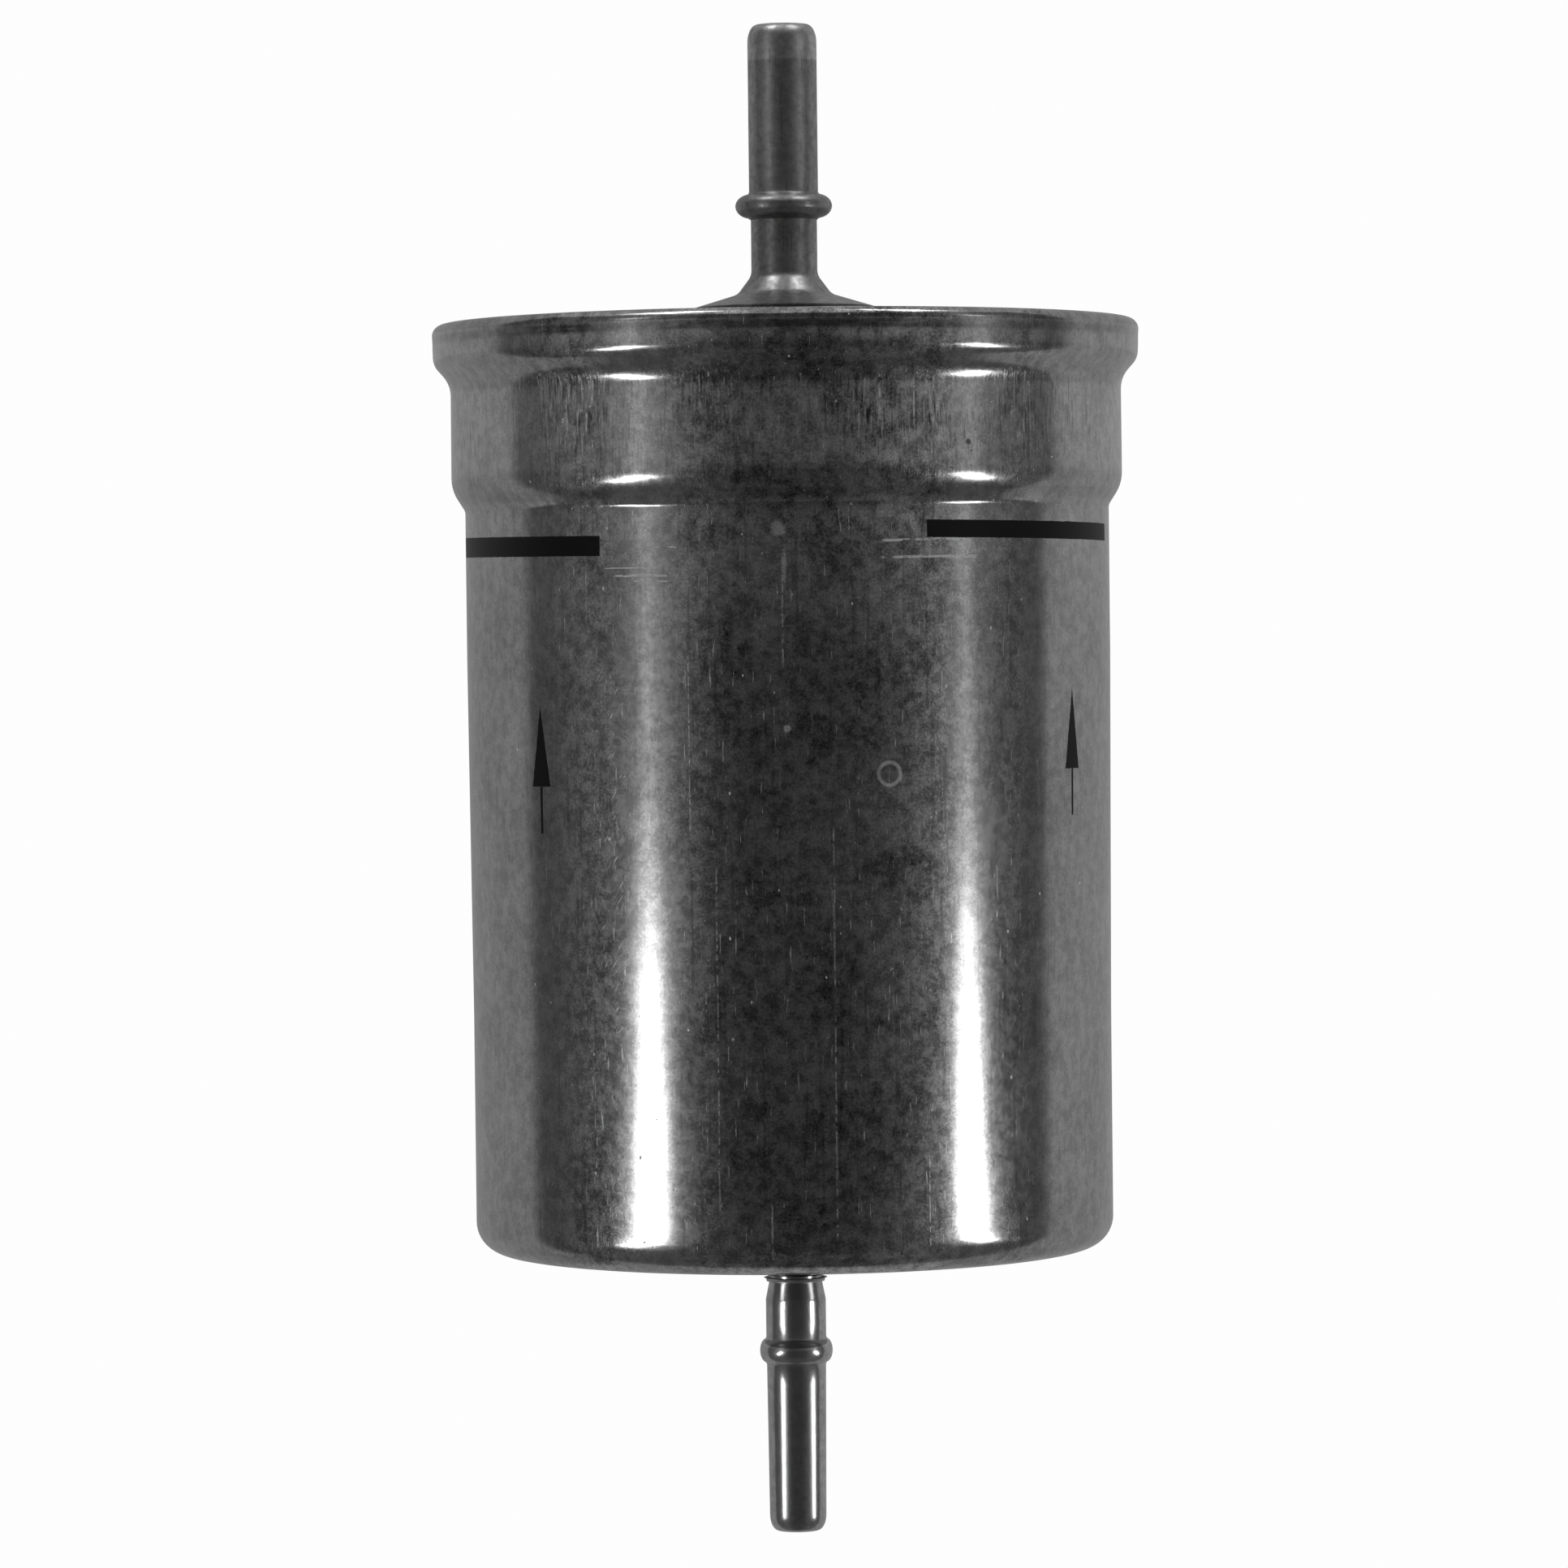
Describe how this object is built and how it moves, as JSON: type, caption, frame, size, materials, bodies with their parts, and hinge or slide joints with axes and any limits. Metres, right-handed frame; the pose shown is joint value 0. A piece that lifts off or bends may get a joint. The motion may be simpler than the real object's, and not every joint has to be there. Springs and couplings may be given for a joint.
{
  "type": "fuel filter",
  "caption": "In-line fuel filter: a drawn steel can with a rolled-in lid, quick-connect stubs at both ends and a spring-held pleated paper element inside.",
  "frame": {"origin": "on the can's axis, halfway up its straight body, where the bracket's strap grips it", "axes": "+Z along the axis in the direction of flow, from the inlet stub towards the outlet stub; +X and +Y square to it, with the paper's seam on +X"},
  "size_m": [0.0808, 0.0808, 0.1725],
  "materials": {
    "can_steel": "satin zinc-plated drawn steel with fine vertical draw marks",
    "lid_steel": "satin pressed steel",
    "dull_tube_steel": "dull plated steel tube",
    "bright_tube_steel": "bright plated steel tube",
    "braze": "dull braze metal",
    "inner_steel": "plain pressed steel",
    "cap_steel": "bright tinplate",
    "spring_steel": "oiled spring wire",
    "seal_rubber": "smooth black fuel-proof rubber",
    "potting": "cast bonding compound",
    "filter_paper": "resin-cured filter paper",
    "gauze": "fine woven strainer gauze"
  },
  "bodies": {
    "housing": {"housing_can": "can_steel", "end_cover": "lid_steel", "seam_gasket": "seal_rubber", "outlet_tube": "dull_tube_steel", "outlet_braze_ring": "braze", "outlet_spigot": "inner_steel", "inlet_tube": "bright_tube_steel", "inlet_braze_ring": "braze", "support_plate": "inner_steel", "support_spring": "spring_steel"},
    "element": {"outlet_seal": "seal_rubber", "seal_retainer": "inner_steel", "upper_end_cap": "cap_steel", "upper_potting": "potting", "pleated_media": "filter_paper", "media_seam_clip": "cap_steel", "core_tube": "cap_steel", "lint_strainer": "gauze", "lower_potting": "potting", "lower_end_cap": "cap_steel"}
  },
  "joints": [
    {"name": "element_float", "type": "slide", "parent": "housing", "child": "element", "axis": [0, 0, -1], "range_m": [0, 0.0015], "stiffness_N_per_m": 2000, "springref_m": -0.004, "deforming": ["support_spring"]}
  ]
}
